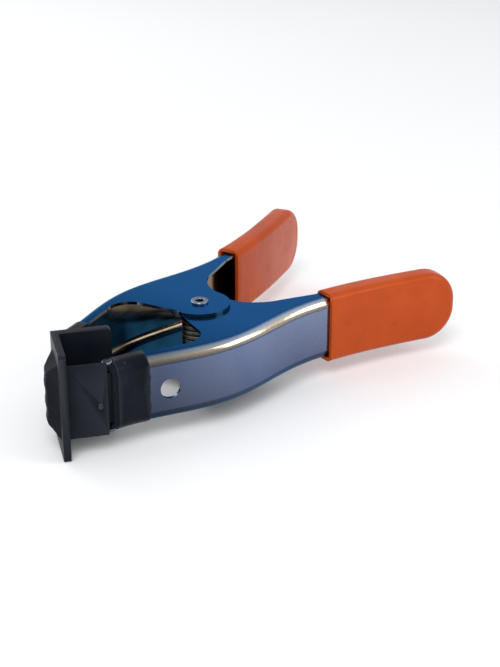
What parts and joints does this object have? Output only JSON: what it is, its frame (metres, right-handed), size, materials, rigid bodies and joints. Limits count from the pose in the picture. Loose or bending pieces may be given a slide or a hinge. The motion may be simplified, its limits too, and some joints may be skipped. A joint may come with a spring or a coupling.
{
  "type": "spring clamp",
  "caption": "Hand spring clamp with plated steel levers, vinyl grips, a central torsion spring and swivelling black jaws, one L-shaped and one flat.",
  "frame": {"origin": "on the pivot axis, at mid-height of the rivet", "axes": "+X from the jaws to the handles, +Z along the pivot axis, +Y towards the flat jaw's lever"},
  "size_m": [0.1845, 0.1061, 0.0416],
  "materials": {
    "blue_steel": "polished plate, blue sheen",
    "black_dip": "glossy dipped coat",
    "grip_vinyl": "glossy soft vinyl",
    "bright_steel": "bright plated",
    "dark_steel": "drawn tube",
    "spring_steel": "oiled spring wire",
    "jaw_plastic": "moulded, glossy",
    "jaw_rubber": "satin rubber"
  },
  "bodies": {
    "near_half": {"near_lever": "blue_steel", "near_grip": "grip_vinyl", "near_tip_skin": "black_dip", "pivot_rivet": "bright_steel", "spring_sleeve": "dark_steel", "torsion_spring": "spring_steel", "corner_jaw_pin": "bright_steel"},
    "far_half": {"far_lever": "blue_steel", "far_grip": "grip_vinyl", "far_tip_skin": "black_dip", "flat_jaw_pin": "bright_steel"},
    "corner_shoe": {"corner_jaw": "jaw_plastic", "corner_jaw_front_pad": "jaw_rubber", "corner_jaw_side_pad": "jaw_rubber", "corner_jaw_rivet": "bright_steel"},
    "flat_shoe": {"flat_jaw": "jaw_plastic", "flat_jaw_pad": "jaw_rubber"}
  },
  "joints": [
    {"name": "squeeze", "type": "hinge", "parent": "near_half", "child": "far_half", "pos_m": [0, 0, 0], "axis": [0, 0, -1], "range_deg": [0, 38], "stiffness_Nm_per_rad": 3.2, "springref_deg": -34.38, "deforming": ["torsion_spring"]},
    {"name": "corner_jaw_swivel", "type": "hinge", "parent": "near_half", "child": "corner_shoe", "pos_m": [-0.058, -0.0129, 0], "axis": [0, 0, 1], "range_deg": [0, 12]},
    {"name": "flat_jaw_swivel", "type": "hinge", "parent": "far_half", "child": "flat_shoe", "pos_m": [-0.058, 0.0129, 0], "axis": [0, 0, 1], "range_deg": [0, 30]}
  ]
}
